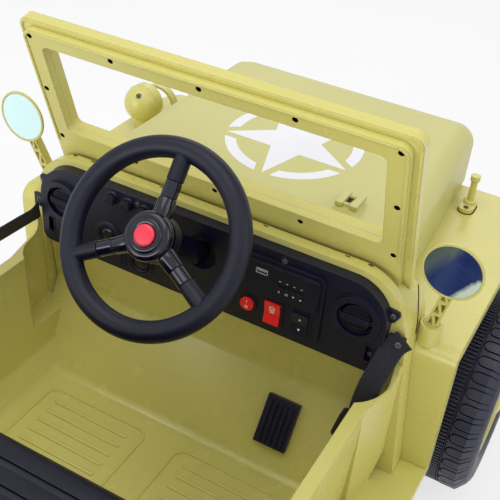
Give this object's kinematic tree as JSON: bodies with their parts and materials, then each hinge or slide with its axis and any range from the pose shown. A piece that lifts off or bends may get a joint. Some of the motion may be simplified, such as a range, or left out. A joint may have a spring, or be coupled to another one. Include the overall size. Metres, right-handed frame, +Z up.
{
  "type": "ride-on toy army 4x4 car",
  "caption": "Child's single-seat battery ride-on car in open army 4x4 style: flat fenders, fold-free windscreen frame, steered front wheels, lifting hood and rear spare wheel.",
  "frame": {"origin": "on the ground under the middle of the car's bounding box", "axes": "+Z up, -Y forward, +X to the car's left"},
  "size_m": [0.682, 1.09, 0.6048],
  "materials": {
    "khaki_plastic": "satin moulded khaki",
    "black_plastic": "matt moulded black",
    "gloss_black": "glossy black",
    "red_plastic": "glossy red",
    "steel": "black painted steel",
    "webbing": "woven black webbing",
    "tyre": "hard black plastic tyre",
    "mirror": "mirror foil",
    "clear_lens": "clear moulded lens",
    "red_lens": "red moulded lens",
    "battery_case": "battery case"
  },
  "bodies": {
    "body": {"battery": "battery_case", "buckles": "black_plastic", "chassis": "black_plastic", "column_support": "steel", "cowl": "khaki_plastic", "dash_knobs": "black_plastic", "dash_panel": "black_plastic", "door_straps": "webbing", "fender_left": "khaki_plastic", "fender_right": "khaki_plastic", "front_axle": "steel", "front_bumper": "black_plastic", "front_panel": "khaki_plastic", "gauges": "black_plastic", "gearboxes": "black_plastic", "headlamp_lenses": "clear_lens", "headlamps": "black_plastic", "hood_latches": "khaki_plastic", "lamp_guard": "khaki_plastic", "marker_lamp": "khaki_plastic", "mirror_arms": "khaki_plastic", "mirror_glasses": "mirror", "mirror_heads": "khaki_plastic", "pedal": "black_plastic", "rear_axle": "steel", "rear_bumpers": "black_plastic", "rear_fender_left": "khaki_plastic", "rear_fender_right": "khaki_plastic", "seat": "black_plastic", "spare_bracket": "khaki_plastic", "spare_rim": "khaki_plastic", "spare_tyre": "tyre", "strap_anchors": "black_plastic", "switch_console": "black_plastic", "switches_red": "red_plastic", "tail_lamps": "red_lens", "tub": "khaki_plastic", "windscreen_front": "khaki_plastic", "windscreen_rear": "khaki_plastic"},
    "hood": {"hood": "khaki_plastic"},
    "steering": {"steering_column": "steel", "steering_wheel": "black_plastic", "steering_hub": "gloss_black", "horn_button": "red_plastic"},
    "knuckle_left": {"knuckle_left": "steel"},
    "knuckle_right": {"knuckle_right": "steel"},
    "tie_rod": {"tie_rod": "steel"},
    "wheel_front_left": {"tyre_front_left": "tyre", "rim_front_left": "khaki_plastic"},
    "wheel_front_right": {"tyre_front_right": "tyre", "rim_front_right": "khaki_plastic"},
    "wheel_rear_left": {"tyre_rear_left": "tyre", "rim_rear_left": "khaki_plastic"},
    "wheel_rear_right": {"tyre_rear_right": "tyre", "rim_rear_right": "khaki_plastic"}
  },
  "joints": [
    {"name": "steering_turn", "type": "hinge", "parent": "body", "child": "steering", "pos_m": [0, -0.0014, 0.4528], "axis": [0, 0.7837, 0.6211], "range_deg": [-31, 31]},
    {"name": "knuckle_left_turn", "type": "hinge", "parent": "body", "child": "knuckle_left", "pos_m": [0.248, -0.335, 0.14], "axis": [0, 0, 1], "range_deg": [-22, 22]},
    {"name": "knuckle_right_turn", "type": "hinge", "parent": "body", "child": "knuckle_right", "pos_m": [-0.248, -0.335, 0.14], "axis": [0, 0, 1], "range_deg": [-22, 22]},
    {"name": "tie_rod_swing", "type": "hinge", "parent": "knuckle_left", "child": "tie_rod", "pos_m": [0.248, -0.275, 0.152], "axis": [0, 0, 1], "range_deg": [-22, 22]},
    {"name": "hood_lift", "type": "hinge", "parent": "body", "child": "hood", "pos_m": [0, -0.166, 0.4135], "axis": [-1, 0, 0], "range_deg": [0, 60]},
    {"name": "wheel_front_left_roll", "type": "hinge", "parent": "knuckle_left", "child": "wheel_front_left", "pos_m": [0.291, -0.335, 0.14], "axis": [1, 0, 0], "continuous": true},
    {"name": "wheel_front_right_roll", "type": "hinge", "parent": "knuckle_right", "child": "wheel_front_right", "pos_m": [-0.291, -0.335, 0.14], "axis": [1, 0, 0], "continuous": true},
    {"name": "wheel_rear_left_roll", "type": "hinge", "parent": "body", "child": "wheel_rear_left", "pos_m": [0.291, 0.315, 0.14], "axis": [1, 0, 0], "continuous": true},
    {"name": "wheel_rear_right_roll", "type": "hinge", "parent": "body", "child": "wheel_rear_right", "pos_m": [-0.291, 0.315, 0.14], "axis": [1, 0, 0], "continuous": true}
  ],
  "couplings": [
    {"joint": "knuckle_left_turn", "follows": "steering_turn", "ratio": 0.7},
    {"joint": "knuckle_right_turn", "follows": "steering_turn", "ratio": 0.7},
    {"joint": "tie_rod_swing", "follows": "steering_turn", "ratio": -0.7}
  ]
}
